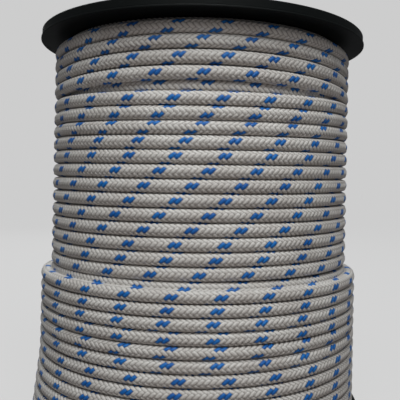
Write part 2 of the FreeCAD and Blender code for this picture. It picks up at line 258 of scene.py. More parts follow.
@dataclass(frozen=True)
class Paperboard:
    """Spiral-wound paperboard, with the edges of its plies winding up the tube."""

    name: str
    colour: Triple
    dark: Triple

    def material(self) -> Material:
        """The board's material."""
        desk = NodeDesk(self.name)
        fibre = desk.noise(desk.place((700.0, 700.0, 250.0)), 1.0, 4.0)
        ply = desk.add("TexWave", {"bands_direction": "DIAGONAL"},
                       {"Vector": desk.place(), "Scale": 14.0, "Distortion": 0.4})
        return desk.surface(
            Base_Color=desk.mix(fibre * 0.7 + ply * 0.2, self.dark, self.colour),
            Roughness=0.8 + 0.1 * fibre,
            Normal=desk.bump(fibre, 0.1 * MM, 0.5),
        )


@dataclass(frozen=True)
class PlatedSteel:
    """Zinc-plated steel, with a cloudy plate and fine drawing lines."""

    name: str
    colour: Triple
    dull: Triple

    def material(self) -> Material:
        """The steel's material."""
        desk = NodeDesk(self.name)
        cloud = desk.noise(desk.place(), 160.0, 4.0)
        lines = desk.noise(desk.place((900.0, 900.0, 90.0)), 1.0, 2.0)
        return desk.surface(
            Base_Color=desk.mix(cloud, self.dull, self.colour),
            Roughness=0.24 + 0.22 * cloud,
            Normal=desk.bump(lines, 0.02 * MM, 0.4),
            Metallic=1.0,
        )


@dataclass(frozen=True)
class MeltedYarn:
    """Yarn melted by a hot blade: glossy, with dark beads."""

    name: str
    colour: Triple
    charred: Triple

    def material(self) -> Material:
        """The melted cap's material."""
        desk = NodeDesk(self.name)
        beads = desk.noise(desk.place(), 520.0, 3.0)
        return desk.surface(
            Base_Color=desk.mix(beads, self.charred, self.colour),
            Roughness=0.18 + 0.2 * beads,
            Normal=desk.bump(beads, 0.4 * MM, 0.8),
        )


@dataclass(frozen=True)
class CrepeTape:
    """Crepe paper tape: matt, with fine wrinkles across its length."""

    name: str
    colour: Triple
    stained: Triple

    def material(self) -> Material:
        """The tape's material."""
        desk = NodeDesk(self.name)
        wrinkle = desk.noise(desk.place((160.0, 160.0, 1900.0)), 1.0, 4.0)
        stain = desk.noise(desk.place(), 90.0, 3.0)
        return desk.surface(
            Base_Color=desk.mix(stain * 0.6 + wrinkle * 0.4, self.stained, self.colour),
            Roughness=0.62 + 0.2 * wrinkle,
            Normal=desk.bump(wrinkle, 0.18 * MM, 0.9),
        )


@dataclass(frozen=True)
class StudioPaint:
    """Plain matt paint of the studio's floor and walls, lit through from behind."""

    name: str
    colour: Triple
    glow: Triple

    def material(self) -> Material:
        """The paint's material."""
        return NodeDesk(self.name).surface(
            Base_Color=self.colour,
            Roughness=0.9,
            Specular_IOR_Level=0.1,
            Emission_Color=self.glow,
            Emission_Strength=1.0,
        )


# each yarn: its colour, a randomly darker tone, and the dark colour of its painted shade in grooves and at
# float tips
CREAM_YARN = SheathYarn("cream_yarn", (0.61, 0.59, 0.565), (0.47, 0.44, 0.415), (0.17, 0.15, 0.135))
BLUE_YARN = SheathYarn(
    "blue_tracer_yarn", (0.004, 0.155, 0.50), (0.002, 0.085, 0.34), (0.001, 0.014, 0.07), gloss=0.4
)
BLACK_MOULDING = MouldedPlastic("black_moulding", (0.0035, 0.0045, 0.0045), (0.009, 0.011, 0.011), 0.42, 0.1)
GREY_MOULDING = MouldedPlastic("grey_moulding", (0.42, 0.42, 0.40), (0.55, 0.55, 0.53), 0.42)
CORE_BOARD = Paperboard("core_board", (0.46, 0.34, 0.22), (0.30, 0.21, 0.13))
ZINC_STEEL = PlatedSteel("zinc_steel", (0.72, 0.73, 0.72), (0.48, 0.49, 0.50))
MELTED_END = MeltedYarn("melted_end", (0.52, 0.46, 0.38), (0.12, 0.08, 0.05))
TAPE = CrepeTape("crepe_tape", (0.80, 0.72, 0.52), (0.62, 0.53, 0.36))
STUDIO_PAINT = StudioPaint("studio_paint", (0.05, 0.05, 0.05), (0.598, 0.598, 0.598))


# ---- winding


@dataclass(frozen=True)
class Turn:
    """One turn of the rope round the spool, as it lies at the front.

    Args:
        radius: of its centreline.
        level: height of its middle at the front.
        wide: its height along the spool's axis, where its neighbours squeeze it.
        bow: how far it is pushed up at the front, beside the opening in the outer layer.
        lean: how far its right side lies lower, as a slope.
        bulge: how far it is pushed out at the left.
        press: how far it is pressed out into the opening in the layer that covers it.
    """

    radius: float
    level: float
    wide: float = TURN_HEIGHT
    bow: float = 0.0
    lean: float = 0.0
    bulge: float = 0.0
    press: float = 0.0


@dataclass
class Winding:
    """The whole rope's turns, from the core outwards, and the line that they make.

    The level part of each turn is at the front. It crosses to the next turn's level at the back.
    """

    rope: float = 10.0 * MM
    core: float = 60.0 * MM
    layer_step: float = 8.0 * MM
    bottom: float = 8.6 * MM
    top: float = 306.8 * MM
    flange_face: float = 307.4 * MM
    buried_turns: int = 29
    cross: float = 0.2  # share of a turn, on each side of the back, that the crossing takes
    opening_reach: float = math.radians(66)
    opening_middle: float = math.radians(6)
    bulge_middle: float = math.radians(205)
    opening_level: float = 258.6 * MM
    opening_press: float = 4.0 * MM
    opening_bow: float = 3.5 * MM
    upper_depth: float = 8.7 * MM  # from the upper flange to the first turn's middle
    upper_gaps: tuple[float, ...] = (10.0 * MM, 10.7 * MM, 10.6 * MM, 0.0)
    lower_depth: float = 57.75 * MM
    lower_turns: int = 13
    lower_gap: float = 9.96 * MM
    hidden_gap: float = 10.0 * MM
    unfinished_turns: int = 12
    unfinished_depth: float = 191.1 * MM
    seat: float = 0.2 * MM  # by which the outer layers lie off their plain beds
    turns: list[Turn] = field(default_factory=list)
    layer_starts: list[int] = field(default_factory=list)

    def __post_init__(self) -> None:
        """Lays the buried layers, then the two outer ones."""
        for layer in range(7):
            self.start_layer()
            low = self.bottom + self.rope / 2
            levels = np.linspace(low, self.top - self.rope / 2, self.buried_turns)
            for level in levels if layer % 2 == 0 else levels[::-1]:
                self.turns.append(Turn(self.bed(layer), level))
        self.turns[-5] = Turn(self.bed(6), self.opening_level, press=self.opening_press)
        self.start_layer()
        self.lay_last_full_layer()
        self.start_layer()
        self.lay_unfinished_layer()

    def start_layer(self) -> None:
        """Notes where the next layer begins."""
        self.layer_starts.append(len(self.turns))

    def bed(self, layer: int) -> float:
        """The centreline's radius in a layer, counted from 0 on the core."""
        return self.core + layer * self.layer_step + self.rope / 2

    def lay_last_full_layer(self) -> None:
        """The eighth layer, wound downwards: an upper group, an opening, and the rest."""
        radius = self.bed(7) + self.seat
        depth = self.upper_depth
        for gap in self.upper_gaps:
            self.turns.append(Turn(radius, self.flange_face - depth, bow=self.opening_bow, lean=0.003))
            depth += gap
        depth = self.lower_depth
        for turn in range(self.lower_turns):
            push = -self.opening_bow * max(0.0, 1 - turn / 8)
            self.turns.append(Turn(radius, self.flange_face - depth, bow=push, lean=-0.010))
            depth += self.lower_gap
        while self.flange_face - depth > self.bottom + self.rope / 2:
            self.turns.append(Turn(self.bed(7), self.flange_face - depth))
            depth += self.hidden_gap

    def lay_unfinished_layer(self) -> None:
        """The ninth layer, wound upwards on the lower third, pushed out at the lower left."""
        lowest = self.bottom + self.rope / 2
        highest = self.flange_face - self.unfinished_depth
        for turn in range(self.unfinished_turns):
            share = turn / (self.unfinished_turns - 1)
            self.turns.append(
                Turn(
                    self.bed(8) - self.seat,
                    lowest + share * (highest - lowest),
                    wide=9.4 * MM,
                    lean=-0.004 - 0.016 * (1 - share) ** 2,
                    bulge=5.0 * MM * max(0.0, 1 - turn / 4.5),
                )
            )

    def line(self, when: float) -> Vector:
        """The point of the rope's centreline after some turns, counted from the core."""
        index = math.floor(when)
        part = when - index
        final = len(self.turns) - 1
        before, here, after = (self.turns[min(max(index + step, 0), final)] for step in (-1, 0, 1))
        if part > 1 - self.cross:
            other, share = after, self.eased((part - 1 + self.cross) / (2 * self.cross))
        elif part < self.cross:
            other, share = before, 1 - self.eased((part + self.cross) / (2 * self.cross))
        else:
            other, share = here, 0.0
        angle = BACK + 2 * math.pi * part
        from_front = 2 * math.pi * (part - 0.5)
        radius_a, level_a = self.at_angle(here, from_front)
        radius_b, level_b = self.at_angle(other, from_front)
        radius = radius_a + share * (radius_b - radius_a)
        level = level_a + share * (level_b - level_a)
        return Vector((radius * math.cos(angle), radius * math.sin(angle), level))

    def at_angle(self, turn: Turn, from_front: float) -> tuple[float, float]:
        """A turn's radius and height at an angle from the front, positive towards the right."""
        away = abs(from_front - self.opening_middle) / self.opening_reach
        opening = math.cos(min(1.0, away) * math.pi / 2)
        angle = FRONT + from_front
        pushed = max(0.0, math.cos(angle - self.bulge_middle)) ** 2
        level = turn.level - turn.bow * (1 - opening) - turn.lean * turn.radius * math.sin(from_front)
        return turn.radius + turn.bulge * pushed + turn.press * opening, level

    @staticmethod
    def eased(share: float) -> float:
        """A share from 0 to 1 with a gentle start and end."""
        return share * share * (3 - 2 * share)


class Detail(Enum):
    """How finely a stretch of rope is modelled."""

    BRAIDED = "every float of the braid, where the stretch shows"
    BURIED = "a plain tube, where other turns cover it"


@dataclass
class Stretch:
    """A stretch of the rope between two places of the winding.

    Args:
        name: the piece's name.
        first: where it starts, in turns from the core.
        last: where it ends.
        detail: how finely it is modelled.
        replaces: the frame's nodes that it stands for.
        lead: length in which one strand goes once round the rope.
        roll: how far the tracer's floats lie above the outward direction, in degrees, at both ends.
        slide: where along the lead the braid starts, as a share, or None where it runs on from the last one.
    """

    name: str
    first: float
    last: float
    detail: Detail
    replaces: tuple[str, ...] = ()
    lead: float = 32.6 * MM
    roll: tuple[float, float] = (0.0, 0.0)
    slide: float | None = None


@dataclass
class RopeMaker:
    """Makes each stretch of the rope as a cord: its line, its surface and its braid."""

    winding: Winding
    rope: float = 10.0 * MM
    points_per_turn: int = 30
    carriers: int = 16
    relief: float = 1.0 * MM
    relief_middle: float = 0.75  # of the relief, where the rope has its full thickness
    squareness: float = 2.35
    flattened: float = 0.965  # of the rope's depth, where it presses on the layer below
    buried_sides: int = 8
    buried_rings: int = 48  # in each turn
    buried_thinning: float = 0.3 * MM
    cream: Material | None = None
    blue: Material | None = None
    half_cells: int = 0  # of the braid, laid so far
    laid: list[tuple[Piece, Array]] = field(default_factory=list)

    def route(self, stretch: Stretch) -> Array:
        """The stretch's smooth line, as points read from a spline through the winding.

        Args:
            stretch: the stretch of rope.

        Returns:
            Points in order, one row each.
        """
        count = max(8, round((stretch.last - stretch.first) * self.points_per_turn)) + 1
        outset = 1 / math.cos(math.pi / self.points_per_turn)
        curve = bpy.data.curves.new(stretch.name + "_line", "CURVE")
        curve.dimensions = "3D"
        curve.resolution_u = 6
        spline = curve.splines.new("NURBS")
        spline.points.add(count - 1)
        for index, point in enumerate(spline.points):
            when = stretch.first + (stretch.last - stretch.first) * index / (count - 1)
            x, y, z = self.winding.line(when)
            point.co = (x * outset, y * outset, z, 1.0)
        spline.order_u = 3
        spline.use_endpoint_u = True
        holder = bpy.data.objects.new(stretch.name + "_line", curve)
        mesh = bpy.data.meshes.new_from_object(holder)
        line = np.array([v.co for v in mesh.vertices])
        bpy.data.meshes.remove(mesh)
        bpy.data.objects.remove(holder)
        bpy.data.curves.remove(curve)
        return line

    @staticmethod
    def spaced(line: Array, count: int) -> tuple[Array, float]:
        """The line again as evenly spaced points, and its length."""
        steps = np.linalg.norm(np.diff(line, axis=0), axis=1)
        along = np.concatenate([[0.0], np.cumsum(steps)])
        places = np.linspace(0.0, along[-1], count)
        columns = [np.interp(places, along, line[:, axis]) for axis in range(3)]
        return np.stack(columns, axis=1), float(along[-1])

    @staticmethod
    def length(path: Array) -> float:
        """The length of a line of points."""
        return float(np.linalg.norm(np.diff(path, axis=0), axis=1).sum())

    def section_axes(self, line: Array) -> tuple[Array, Array]:
        """The outward and upward directions across the rope at each point."""
        ahead = np.gradient(line, axis=0)
        ahead /= np.linalg.norm(ahead, axis=1)[:, None]
        outward = line * (1.0, 1.0, 0.0)
        outward -= (outward * ahead).sum(1)[:, None] * ahead
        outward /= np.linalg.norm(outward, axis=1)[:, None]
        return outward, np.cross(ahead, outward) * -1.0

    @staticmethod
    def float_height(u: Array, v: Array) -> Array:
        """The braid's relief on the two families' own grid.

        Args:
            u: place counted in strands of the left-leaning family.
            v: place counted in strands of the right-leaning family.

        Returns:
            The relief from 0 to 1.
        """
        step = (np.rint(u) - np.rint(v)) % 4
        over = step < 2
        middle = np.where(over, np.rint(v) + 0.5, np.rint(u) - 2.5)
        across = np.where(over, v - np.rint(v), u - np.rint(u))
        along = np.where(over, u - middle, v - middle)
        along = (along + 2) % 4 - 2
        narrowness, fall, end_height = 1.9, 0.6, 0.3
        crown = np.sqrt(np.clip(1 - (narrowness * across) ** 2, 0, 1))
        arch = np.clip(1 - fall * along**2, 0, 1)
        return crown * (end_height + (1 - end_height) * arch)

    def relief_at(self, u: Array, v: Array) -> Array:
        """The relief with a groove wherever two floats meet: the lowest of the floats round each point."""
        near = 0.01
        around = [self.float_height(u + a, v + b) for a in (near, -near) for b in (near, -near)]
        return np.minimum.reduce(around)

    def make(self, stretch: Stretch) -> Piece:
        """Makes a stretch and puts it on the frame's body."""
        line = self.route(stretch)
        if stretch.detail is Detail.BRAIDED:
            piece, path = self.braided(stretch, line)
        else:
            piece, path = self.plain(stretch, line)
        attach(piece, BODY)
        if stretch.replaces:
            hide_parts(*stretch.replaces)
        self.laid.append((piece, path))
        log.info("%s: %.2f m of rope, %d faces", piece.name, self.length(path), len(piece.data.polygons))
        return piece

    def surface(self, name: str, rings: Array, faces: Array) -> Piece:
        """An object whose mesh is a tube of rings, closed by a fan at each end."""
        count, sides = rings.shape[:2]
        ends = [rings[0].mean(0), rings[-1].mean(0)]
        points = np.concatenate([rings.reshape(-1, 3), ends])
        start, end = count * sides, count * sides + 1
        turn = np.arange(sides)
        last = (count - 1) * sides
        cap = np.stack([np.full(sides, start), (turn + 1) % sides, turn], axis=1)
        far = np.stack([np.full(sides, end), last + turn, last + (turn + 1) % sides], axis=1)
        triangles = np.concatenate([faces, cap, far])
        mesh = bpy.data.meshes.new(name)
        mesh.vertices.add(len(points))
        mesh.vertices.foreach_set("co", points.astype(np.float32).ravel())
        mesh.loops.add(triangles.size)
        mesh.loops.foreach_set("vertex_index", triangles.astype(np.int32).ravel())
        mesh.polygons.add(len(triangles))
        mesh.polygons.foreach_set("loop_start", np.arange(0, triangles.size, 3, dtype=np.int32))
        mesh.update(calc_edges=True)
        mesh.polygons.foreach_set("use_smooth", np.ones(len(triangles), bool))
        ends_of_edges = np.empty(2 * len(mesh.edges), np.int32)
        mesh.edges.foreach_get("vertices", ends_of_edges)
        ring_of_edges = ends_of_edges.reshape(-1, 2) // sides
        at_end = (ring_of_edges == 0).all(axis=1) | (ring_of_edges == count - 1).all(axis=1)
        sharp = mesh.attributes.new("sharp_edge", "BOOLEAN", "EDGE")
        sharp.data.foreach_set("value", at_end)
        piece = bpy.data.objects.new(name, mesh)
        bpy.context.scene.collection.objects.link(piece)
        return piece

    def rings(self, line: Array, sides: int, roll: Array, wide: float, lift: Array) -> Array:
        """Rings of points round the line, squeezed to the turns' height and raised by lift."""
        outward, upward = self.section_axes(line)
        angle = 2 * np.pi * np.arange(sides) / sides + roll[:, None]
        power = 2 / self.squareness
        across = np.sign(np.cos(angle)) * np.abs(np.cos(angle)) ** power
        upright = np.sign(np.sin(angle)) * np.abs(np.sin(angle)) ** power
        deep = self.rope * self.rope / wide / 2 * self.flattened
        high = wide / 2
        fit = np.sqrt((across * deep) ** 2 + (upright * high) ** 2)
        scale = (fit + lift) / fit
        return (
            line[:, None]
            + (across * deep * scale)[..., None] * outward[:, None]
            + (upright * high * scale)[..., None] * upward[:, None]
        )

    def plain(self, stretch: Stretch, line: Array) -> tuple[Piece, Array]:
        """A buried stretch: a plain tube, a little thinner than the rope."""
        count = max(8, round((stretch.last - stretch.first) * self.buried_rings))
        path, _ = self.spaced(line, count)
        sides = self.buried_sides
        lift = np.full((count, sides), -self.buried_thinning)
        rings = self.rings(path, sides, np.full(count, math.pi / sides), TURN_HEIGHT, lift)
        ring, side = np.meshgrid(np.arange(count - 1), np.arange(sides), indexing="ij")
        a = (ring * sides + side).ravel()
        b = (ring * sides + (side + 1) % sides).ravel()
        faces = np.concatenate([np.stack([a, b, b + sides], 1), np.stack([a, b + sides, a + sides], 1)])
        piece = self.surface(stretch.name, rings, faces[:, ::-1])
        piece.data.uv_layers.new(name="braid")
        piece.data.materials.append(self.cream)
        return piece, path

    def braided(self, stretch: Stretch, line: Array) -> tuple[Piece, Array]:
        """A stretch that shows: the sheath's floats as relief, each float all one yarn's colour."""
        cell = stretch.lead / self.carriers
        _, length = self.spaced(line, 2)
        halves = round(2 * length / cell)
        path, _ = self.spaced(line, halves + 1)
        sides = 2 * self.carriers
        if stretch.slide is not None:
            self.half_cells = round(stretch.slide * 2 * self.carriers)
        first = self.half_cells
        self.half_cells += halves
        ring = first + np.arange(halves + 1)[:, None]
        side = np.arange(sides)[None]
        lift = self.relief * (self.relief_at((ring + side) / 4, (ring - side) / 4) - self.relief_middle)
        wide = self.turn_width(stretch)
        roll = np.radians(np.linspace(*stretch.roll, halves + 1)) - 2 * np.pi / sides
        rings = self.rings(path, sides, roll, wide, lift)
        faces, colour, uv, from_middle = self.braid_faces(halves, sides, first)
        piece = self.surface(stretch.name, rings, faces)
        self.paint(piece, colour, uv, from_middle)
        return piece, path

    def turn_width(self, stretch: Stretch) -> float:
        """The height along the spool's axis that the stretch's middle turn is squeezed to."""
        turns = self.winding.turns
        return turns[min(len(turns) - 1, int((stretch.first + stretch.last) / 2))].wide

    def braid_faces(self, halves: int, sides: int, first: int) -> tuple[Array, ...]:
        """The tube's triangles, split along the floats' edges.

        Args:
            halves: the number of half cells along the rope.
            sides: the number of half cells round it.
            first: the half cell at which the braid's pattern starts.

        Returns:
            The triangles, 1 for each that a tracer shows on, each corner's place in the braid, and how far
            each corner lies from the middle of its float, in strands.
        """
        ring, side = np.meshgrid(np.arange(halves), np.arange(sides), indexing="ij")
        ring, side = ring.ravel(), side.ravel()
        after = (side + 1) % sides
        a, b = ring * sides + side, ring * sides + after
        c, d = a + sides, b + sides
        rising = ((ring + first) // 2 + side // 2) % 2 == 0
        one = np.where(rising[:, None], np.stack([a, c, b], 1), np.stack([a, c, d], 1))
        two = np.where(rising[:, None], np.stack([c, d, b], 1), np.stack([a, d, b], 1))
        x, y = ring + first, side
        near, far = 1 / 3, 2 / 3
        low = np.stack([x + np.where(rising, near, far), y + near], 1)
        top = np.stack([x + np.where(rising, far, near), y + far], 1)
        middles = np.concatenate([low, top])
        u, v = middles.sum(1) / 4, (middles[:, 0] - middles[:, 1]) / 4
        strand_u, strand_v = np.rint(u), np.rint(v)
        over = (strand_u - strand_v) % 4 < 2
        blunt_end = 1.25
        tip = np.abs((u - v - 0.5 + 2) % 4 - 2) > blunt_end
        traced = over & ~tip & np.isin(strand_v % 8, (0, 1))
        faces = np.concatenate([one, two])
        corner_x = faces // sides + first
        corner_y = faces % sides
        wrap = np.concatenate([side, side])[:, None] == sides - 1
        corner_y = np.where(wrap & (corner_y == 0), sides, corner_y)
        along = np.where(over[:, None], corner_x + corner_y, corner_x - corner_y)
        across = np.where(over[:, None], corner_x - corner_y, corner_x + corner_y)
        uv = np.stack([along * 0.25 * ALONG_SPAN, across * 0.25 * STRAND_SPAN], axis=2)
        middle = np.where(over, 0.5, 2.5)[:, None]
        from_middle = np.abs((corner_y / 2 - middle + 2) % 4 - 2)
        return faces, traced.astype(np.int32), uv, from_middle

    def paint(self, piece: Piece, colour: Array, uv: Array, from_middle: Array) -> None:
        """Gives each face its yarn, and each corner its place in the braid and on its float."""
        mesh = piece.data
        mesh.materials.append(self.cream)
        mesh.materials.append(self.blue)
        ends = len(mesh.polygons) - len(colour)
        mesh.polygons.foreach_set("material_index", np.concatenate([colour, np.zeros(ends, np.int32)]))
        layer = mesh.uv_layers.new(name="braid")
        corners = np.concatenate([uv.reshape(-1, 2), np.zeros((3 * ends, 2))])
        layer.data.foreach_set("uv", corners.astype(np.float32).ravel())
        place = mesh.attributes.new("from_middle", "FLOAT", "CORNER")
        values = np.concatenate([from_middle.ravel(), np.zeros(3 * ends)])
        place.data.foreach_set("value", values.astype(np.float32))


@dataclass
class RopePlan:
    """How the rope is cut into stretches: braided where it shows, plain where other turns cover it.

    Args:
        winding: the turns.
        outer: turns, lead, roll and slide of each stretch that shows in the last full layer.
        top: the same for the unfinished layer.
        under_opening: turns before the last full layer, of the one that shows in its opening.
        taped: the stretches that the tape is laid on.
    """

    winding: Winding
    outer: tuple[tuple, ...] = (
        (4, 32.43 * MM, (50.0, -8.0), 0.91),
        (4, 32.655 * MM, (11.0, -89.0), 0.0),
        (4, 32.655 * MM, (-80.0, -93.0), 0.19),
        (3, 32.655 * MM, (-93.0, -91.0), None),
        (3, 32.655 * MM, (-96.0, -100.0), 0.34),
    )
    top: tuple[tuple, ...] = (
        (3, 32.47 * MM, (-95.0, -92.0), 0.0),
        (3, 32.47 * MM, (-92.0, -84.0), None),
        (3, 32.47 * MM, (-82.0, 0.0), 0.46),
        (2.98, 32.47 * MM, (18.0, -4.0), 0.32),
    )
    under_opening: int = 5
    taped: tuple[str, ...] = ("rope_outer_4", "rope_outer_5", "rope_top_4")

    def stretches(self) -> list[Stretch]:
        """Every stretch, from the core outwards."""
        starts = self.winding.layer_starts
        full, last = starts[7:9]
        under = full - self.under_opening
        plan = [
            Stretch(f"rope_buried_{n + 1}", starts[n], starts[n + 1], Detail.BURIED, (f"rope_layer_{n + 1}",))
            for n in range(6)
        ]
        plan += [
            Stretch("rope_buried_7", starts[6], under, Detail.BURIED, ("rope_layer_7",)),
            Stretch("rope_under_opening", under, under + 1, Detail.BRAIDED, roll=(30.0, 30.0), slide=0.0),
            Stretch("rope_buried_7_upper", under + 1, full - 1, Detail.BURIED),
            Stretch("rope_under_flange", full - 1, full, Detail.BRAIDED, roll=(20.0, 20.0), slide=0.0),
        ]
        plan += self.shown("rope_outer", full, self.outer, ("rope_layer_8",))
        plan.append(Stretch("rope_buried_8", plan[-1].last, last, Detail.BURIED))
        return plan + self.shown("rope_top", last, self.top, ("rope_layer_9", "rope_last_turn"))

    def shown(self, name: str, start: float, parts: tuple, nodes: tuple[str, ...]) -> list[Stretch]:
        """Braided stretches end to end from a turn on, the first of which stands for the nodes."""
        found = []
        for number, (turns, lead, roll, slide) in enumerate(parts, 1):
            end = start + turns
            replaces = nodes if number == 1 else ()
            found.append(Stretch(f"{name}_{number}", start, end, Detail.BRAIDED, replaces, lead, roll, slide))
            start = end
        return found


# ---- hand-modelled pieces


class Bench:
    """The modelling steps that the hand-modelled pieces share."""

    @staticmethod
    def start(primitive: str, name: str, **settings: object) -> Piece:
        """Adds a primitive, alone in the selection, and names it."""
        bpy.ops.object.select_all(action="DESELECT")
        getattr(bpy.ops.mesh, f"primitive_{primitive}_add")(**settings)
        piece = bpy.context.object
        piece.name = name
        bpy.ops.object.transform_apply(location=True, rotation=True, scale=True)
        return piece

    @staticmethod
    def modify(piece: Piece, kind: str, **settings: object) -> None:
        """Adds a modifier with the given settings and applies it."""
        bpy.context.view_layer.objects.active = piece
        modifier = piece.modifiers.new(kind.lower(), kind)
        for name, value in settings.items():
            setattr(modifier, name, value)
        bpy.ops.object.modifier_apply(modifier=modifier.name)

    @staticmethod
    def smooth(piece: Piece, degrees: float = 35.0) -> None:
        """Shades a piece smooth, except across edges sharper than an angle."""
        bpy.ops.object.select_all(action="DESELECT")
        piece.select_set(True)
        bpy.context.view_layer.objects.active = piece
        bpy.ops.object.shade_smooth_by_angle(angle=math.radians(degrees))

    @staticmethod
    def bevel(piece: Piece, width: float, segments: int, degrees: float) -> None:
        """Rounds every edge of a piece that is sharper than an angle."""
        limit = math.radians(degrees)
        Bench.modify(piece, "BEVEL", width=width, segments=segments, limit_method="ANGLE", angle_limit=limit)

    @staticmethod
    def finish(piece: Piece, material: Material, slot: str, *nodes: str) -> Piece:
        """Dresses a piece and puts it on the frame in place of its nodes."""
        piece.data.materials.clear()
        piece.data.materials.append(material)
        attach(piece, BODY)
        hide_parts(*nodes)
        log.info("%s in place of %s", piece.name, ", ".join(nodes))
        return piece

    @staticmethod
    def copy(piece: Piece, name: str, place: Matrix) -> Piece:
        """A copy of a piece with its own mesh, moved to its place."""
        double = bpy.data.objects.new(name, piece.data.copy())
        double.data.transform(place)
        bpy.context.scene.collection.objects.link(double)
        return double


@dataclass
class TieHardware:
    """The four tie rods with a washer and a nut at each end of each."""

    height: float = 315.4 * MM
    circle: float = 38.0 * MM
    count: int = 4
    rod_radius: float = 3.0 * MM
    rod_inset: float = 11.0 * MM  # from the spool's end to the rod's
    pitch: float = 1.0 * MM
    threads: int = 12
    root: float = 0.88  # of the thread, as a share of the rod's radius
    nut_corner: float = 5.77 * MM
    nut_height: float = 5.0 * MM
    nut_inset: float = 13.4 * MM
    washer_radius: float = 6.0 * MM
    washer_height: float = 1.6 * MM
    washer_inset: float = 18.4 * MM
    hole_clearance: float = 1.01
    steel: Material | None = None

    def build(self) -> None:
        """Models one rod, nut and washer, and copies them round the hub and to both ends."""
        rod = self.rod()
        nut = self.drilled("nut", 6, self.nut_corner, self.nut_height, self.nut_inset, 0.5 * MM)
        washer = self.drilled("washer", 64, self.washer_radius, self.washer_height, self.washer_inset,
                              0.2 * MM)
        turned_over = Matrix.Translation((0.0, 0.0, self.height)) @ Matrix.Rotation(math.pi, 4, "X")
        for turn in range(self.count):
            round_hub = Matrix.Rotation(2 * math.pi * turn / self.count, 4, "Z")
            rod_copy = Bench.copy(rod, f"threaded_rod_{turn + 1}", round_hub)
            Bench.finish(rod_copy, self.steel, "zinc_steel", f"tie_rod_{turn + 1}")
            for end, over in (("lower", Matrix.Identity(4)), ("upper", turned_over)):
                for kind, piece in (("nut", nut), ("washer", washer)):
                    double = Bench.copy(piece, f"{end}_{kind}_{turn + 1}", over @ round_hub)
                    Bench.finish(double, self.steel, "zinc_steel", f"{end}_tie_{kind}s")
        for pattern in (rod, nut, washer):
            bpy.data.objects.remove(pattern)

    def rod(self) -> Piece:
        """A rod with a thread at each end, cut as rings one pitch apart."""
        length = self.height - 2 * self.rod_inset
        rod = Bench.start("cylinder", "rod", vertices=32, radius=self.rod_radius, depth=length,
                          location=(self.circle, 0.0, self.height / 2))
        steps = [self.rod_inset + self.pitch * (0.25 + 0.5 * step) for step in range(2 * self.threads)]
        levels = steps + [self.height - level for level in steps]
        bpy.ops.object.mode_set(mode="EDIT")
        for level in levels:
            bpy.ops.mesh.select_all(action="SELECT")
            bpy.ops.mesh.bisect(plane_co=(0.0, 0.0, level), plane_no=(0.0, 0.0, 1.0))
        bpy.ops.mesh.select_mode(type="VERT")
        bpy.ops.mesh.select_all(action="DESELECT")
        bpy.ops.object.mode_set(mode="OBJECT")
        roots = steps[1::2] + [self.height - level for level in steps[1::2]]
        for vertex in rod.data.vertices:
            vertex.select = min(abs(vertex.co.z - level) for level in roots) < self.pitch / 20
        bpy.ops.object.mode_set(mode="EDIT")
        bpy.ops.transform.resize(value=(self.root, self.root, 1.0), center_override=(self.circle, 0.0, 0.0))
        bpy.ops.object.mode_set(mode="OBJECT")
        Bench.bevel(rod, 0.35 * MM, 1, 70.0)
        Bench.smooth(rod, 25.0)
        return rod

    def drilled(self, name: str, sides: int, radius: float, height: float, inset: float,
                chamfer: float) -> Piece:
        """A chamfered blank with the rod's hole through it, on the first rod at the lower end."""
        middle = (self.circle, 0.0, inset + height / 2)
        piece = Bench.start("cylinder", name, vertices=sides, radius=radius, depth=height, location=middle,
                            rotation=(0.0, 0.0, math.pi / 6))
        hole = Bench.start("cylinder", "hole", vertices=48, radius=self.rod_radius * self.hole_clearance,
                           depth=2 * height, location=middle)
        Bench.modify(piece, "BOOLEAN", object=hole, operation="DIFFERENCE", solver="EXACT")
        bpy.data.objects.remove(hole)
        Bench.bevel(piece, chamfer, 2, 40.0)
        Bench.smooth(piece)
        return piece


